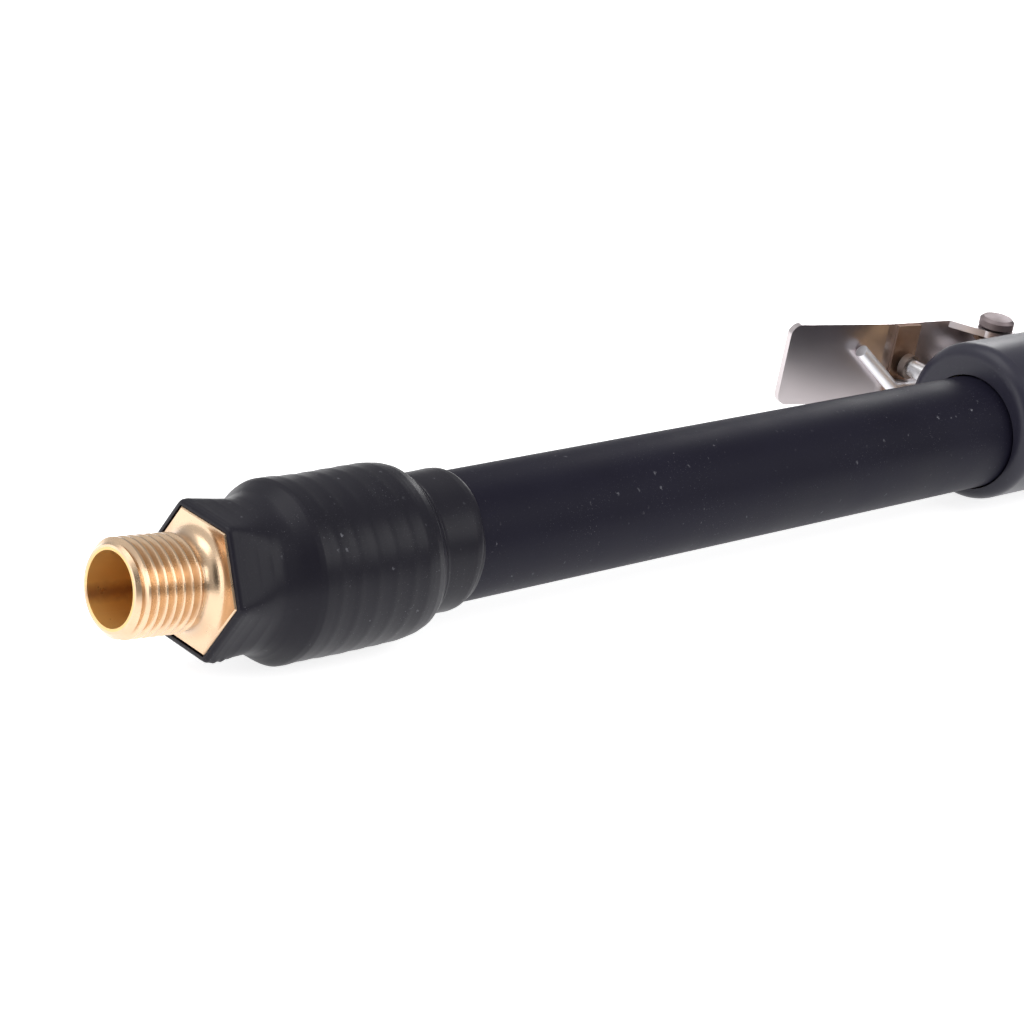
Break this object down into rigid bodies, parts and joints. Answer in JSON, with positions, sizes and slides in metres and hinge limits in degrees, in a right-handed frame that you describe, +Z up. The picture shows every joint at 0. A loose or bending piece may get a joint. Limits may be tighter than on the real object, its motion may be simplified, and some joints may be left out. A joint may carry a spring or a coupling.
{
  "type": "tig welding torch",
  "caption": "Gas-cooled TIG torch with a finger-lever gas valve, a side head with cup and long back cap, and a hose tail that ends in a brass threaded nipple.",
  "frame": {"origin": "on the handle's axis, at the middle of the grip tube", "axes": "+X along the handle towards the head, +Y towards the finger lever, +Z up with the torch lying on its side"},
  "size_m": [0.4207, 0.151, 0.0268],
  "materials": {
    "brass": "machined brass, bright, slightly warm",
    "copper": "drawn copper, satin",
    "heat_shrink": "shrunk polyolefin, satin, dusty",
    "hose_rubber": "extruded rubber, matt",
    "valve_rubber": "nitrile, matt",
    "handle_plastic": "moulded glass-filled plastic, satin",
    "polished_steel": "polished sheet, thin bright plating",
    "spring_steel": "drawn wire, bright",
    "screw_steel": "plated steel",
    "insulator_rubber": "moulded phenolic and rubber, satin",
    "gasket_white": "white fluoropolymer",
    "tungsten": "ground tungsten",
    "ceramic": "fired alumina, pale pink-brown",
    "backcap_plastic": "moulded phenolic, satin"
  },
  "bodies": {
    "torch": {"hose_nipple": "brass", "crimp_ferrule": "brass", "heat_shrink_sleeve": "heat_shrink", "power_hose": "hose_rubber", "front_cable_lug": "copper", "rear_cable_lug": "copper", "copper_core": "copper", "valve_body": "brass", "valve_plug": "brass", "valve_bonnet": "brass", "stem_seal": "valve_rubber", "valve_spring": "spring_steel", "handle_tube": "handle_plastic", "handle_nose": "handle_plastic", "hinge_bracket": "brass", "bracket_screws": "screw_steel", "hinge_pin": "brass", "pin_clip": "screw_steel", "neck_tube": "copper", "torch_body": "copper", "head_insulator": "insulator_rubber", "cup_gasket": "gasket_white", "collet_body": "copper", "collet": "copper"},
    "lever": {"lever_plate": "polished_steel", "wear_pad": "brass", "lever_spring": "spring_steel"},
    "valve_pin": {"valve_stem": "screw_steel", "push_cap": "screw_steel", "valve_disc": "valve_rubber"},
    "cup": {"ceramic_cup": "ceramic"},
    "back_cap_ring": {"back_cap_oring": "valve_rubber"},
    "back_cap": {"back_cap": "backcap_plastic"},
    "electrode": {"tungsten_electrode": "tungsten"}
  },
  "joints": [
    {"name": "lever_hinge", "type": "hinge", "parent": "torch", "child": "lever", "pos_m": [-0.0615, 0.0172, 0], "axis": [0, 0, 1], "range_deg": [0, 11], "stiffness_Nm_per_rad": 0.5, "springref_deg": -6.88, "deforming": ["lever_spring"]},
    {"name": "valve_slide", "type": "slide", "parent": "torch", "child": "valve_pin", "axis": [0, -1, 0], "range_m": [0, 0.00298], "deforming": ["valve_spring"]},
    {"name": "back_cap_travel", "type": "slide", "parent": "torch", "child": "back_cap_ring", "axis": [-0.342, 0.9397, 0], "range_m": [0, 0.004]},
    {"name": "back_cap_turn", "type": "hinge", "parent": "back_cap_ring", "child": "back_cap", "pos_m": [0.133, 0, 0], "axis": [-0.342, 0.9397, 0], "range_deg": [0, 1080]},
    {"name": "cup_turn", "type": "hinge", "parent": "torch", "child": "cup", "pos_m": [0.133, 0, 0], "axis": [0.342, -0.9397, 0], "range_deg": [0, 720]},
    {"name": "electrode_slide", "type": "slide", "parent": "torch", "child": "electrode", "axis": [0.342, -0.9397, 0], "range_m": [-0.005, 0.02]}
  ],
  "couplings": [
    {"joint": "lever_hinge", "follows": "valve_slide", "rad_per_m": 64.516},
    {"joint": "back_cap_travel", "follows": "back_cap_turn", "m_per_rad": 0.00020213}
  ]
}
